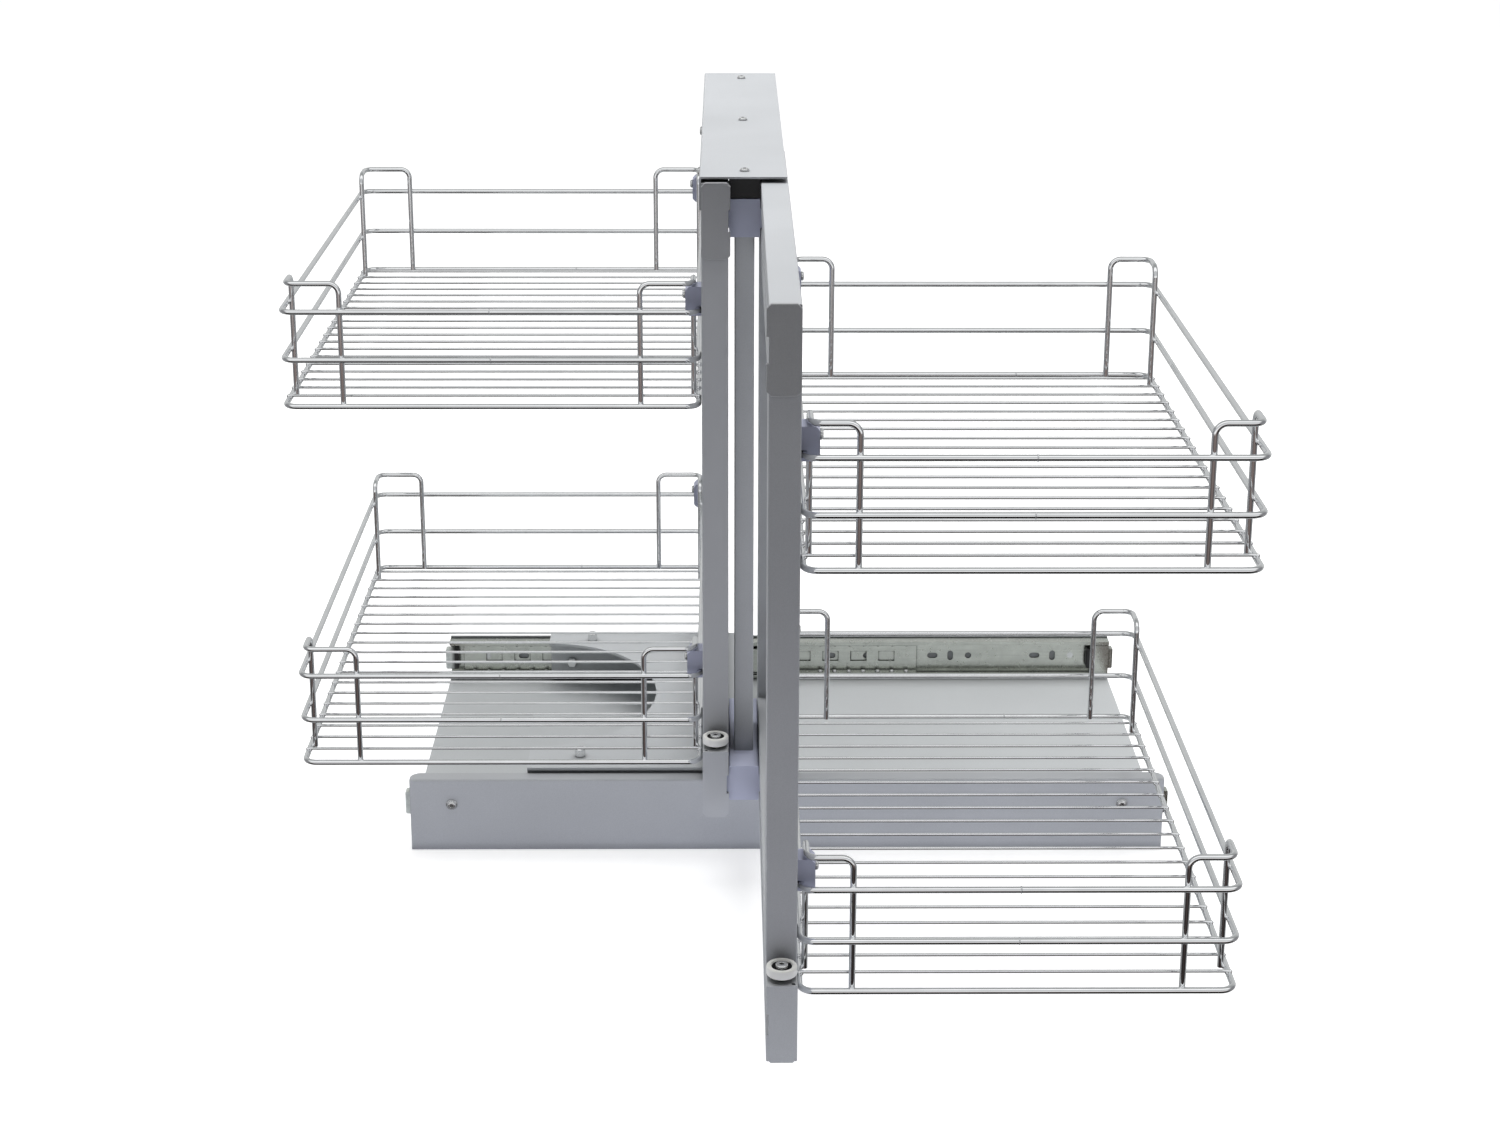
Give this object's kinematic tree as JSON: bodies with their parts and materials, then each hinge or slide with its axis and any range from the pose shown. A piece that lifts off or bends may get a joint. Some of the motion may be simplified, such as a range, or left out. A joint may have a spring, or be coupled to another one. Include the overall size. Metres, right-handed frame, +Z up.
{
  "type": "corner pull-out unit",
  "caption": "Blind-corner cabinet pull-out: floor tray with ball slides, a sideways carriage, two upright channel frames sliding past each other, and chromed wire baskets.",
  "frame": {"origin": "centre of the floor tray's footprint, on the cabinet floor", "axes": "+X right along the tray's slides, +Y into the cabinet, +Z up; at rest the front frame and its baskets are drawn fully out of the cabinet, as pictured"},
  "size_m": [0.7295, 0.924, 0.5969],
  "materials": {
    "grey_paint": "satin powder coat",
    "chrome_wire": "polished chrome plate",
    "zinc_steel": "zinc plated",
    "zinc_fastener": "bright zinc",
    "violet_plastic": "moulded, violet grey",
    "white_plastic": "moulded, white",
    "dark_steel": "oiled dark steel",
    "black_plastic": "moulded, black",
    "rubber": "moulded rubber"
  },
  "bodies": {
    "base": {"base_apron": "grey_paint", "base_floor": "grey_paint", "base_upstand": "grey_paint", "base_supports": "grey_paint", "apron_bolts": "zinc_fastener", "upstand_bolts": "zinc_fastener", "front_slide_rail": "zinc_steel", "rear_slide_rail": "zinc_steel", "slide_bumpers": "rubber", "slide_end_stops": "zinc_steel"},
    "front_cage": {"front_slide_cage": "zinc_steel", "front_slide_balls": "zinc_fastener"},
    "rear_cage": {"rear_slide_cage": "zinc_steel", "rear_slide_balls": "zinc_fastener"},
    "carriage": {"carriage_plate": "grey_paint", "carriage_studs": "zinc_fastener", "runner_bolts": "zinc_fastener", "frame_screws": "zinc_fastener", "front_slide_runner": "zinc_steel", "rear_slide_runner": "zinc_steel", "rear_frame_top_rail": "grey_paint", "rear_frame_bottom_rail": "grey_paint", "rear_frame_front_post": "grey_paint", "rear_frame_back_post": "grey_paint", "rear_frame_top_cap": "grey_paint", "rear_frame_end_plugs": "black_plastic", "rear_roller_spacer": "zinc_steel", "rear_roller_axle": "zinc_fastener", "rear_upper_basket": "chrome_wire", "rear_lower_basket": "chrome_wire", "rear_basket_clips": "violet_plastic", "rear_clip_screws": "zinc_fastener", "top_cover": "grey_paint", "guide_strip": "black_plastic", "cover_rivets": "zinc_fastener", "cover_side_screws": "zinc_fastener"},
    "rear_roller": {"rear_roller_tyre": "white_plastic", "rear_roller_bearing": "dark_steel"},
    "column": {"middle_column": "grey_paint", "top_glide_block": "violet_plastic", "bottom_glide_block": "violet_plastic", "column_screws": "zinc_fastener"},
    "front_unit": {"front_frame_top_rail": "grey_paint", "front_frame_bottom_rail": "grey_paint", "front_frame_front_post": "grey_paint", "front_frame_back_post": "grey_paint", "front_frame_top_cap": "grey_paint", "front_frame_end_plugs": "black_plastic", "front_roller_spacer": "zinc_steel", "front_roller_axle": "zinc_fastener", "front_upper_basket": "chrome_wire", "front_lower_basket": "chrome_wire", "front_basket_clips": "violet_plastic", "front_clip_screws": "zinc_fastener"},
    "front_roller": {"front_roller_tyre": "white_plastic", "front_roller_bearing": "dark_steel"}
  },
  "joints": [
    {"name": "carriage_slide", "type": "slide", "parent": "base", "child": "carriage", "axis": [1, 0, 0], "range_m": [0, 0.29]},
    {"name": "front_cage_slide", "type": "slide", "parent": "base", "child": "front_cage", "axis": [1, 0, 0], "range_m": [0, 0.145]},
    {"name": "rear_cage_slide", "type": "slide", "parent": "base", "child": "rear_cage", "axis": [1, 0, 0], "range_m": [0, 0.145]},
    {"name": "front_unit_slide", "type": "slide", "parent": "carriage", "child": "front_unit", "axis": [0, 1, 0], "range_m": [0, 0.381]},
    {"name": "column_slide", "type": "slide", "parent": "carriage", "child": "column", "axis": [0, 1, 0], "range_m": [0, 0.1905]},
    {"name": "rear_roller_spin", "type": "hinge", "parent": "carriage", "child": "rear_roller", "pos_m": [-0.0605, -0.243, 0.134], "axis": [0, 0, 1], "continuous": true},
    {"name": "front_roller_spin", "type": "hinge", "parent": "front_unit", "child": "front_roller", "pos_m": [-0.0145, -0.624, 0.134], "axis": [0, 0, 1], "continuous": true}
  ],
  "couplings": [
    {"joint": "front_cage_slide", "follows": "carriage_slide", "ratio": 0.5},
    {"joint": "rear_cage_slide", "follows": "carriage_slide", "ratio": 0.5},
    {"joint": "column_slide", "follows": "front_unit_slide", "ratio": 0.5}
  ]
}
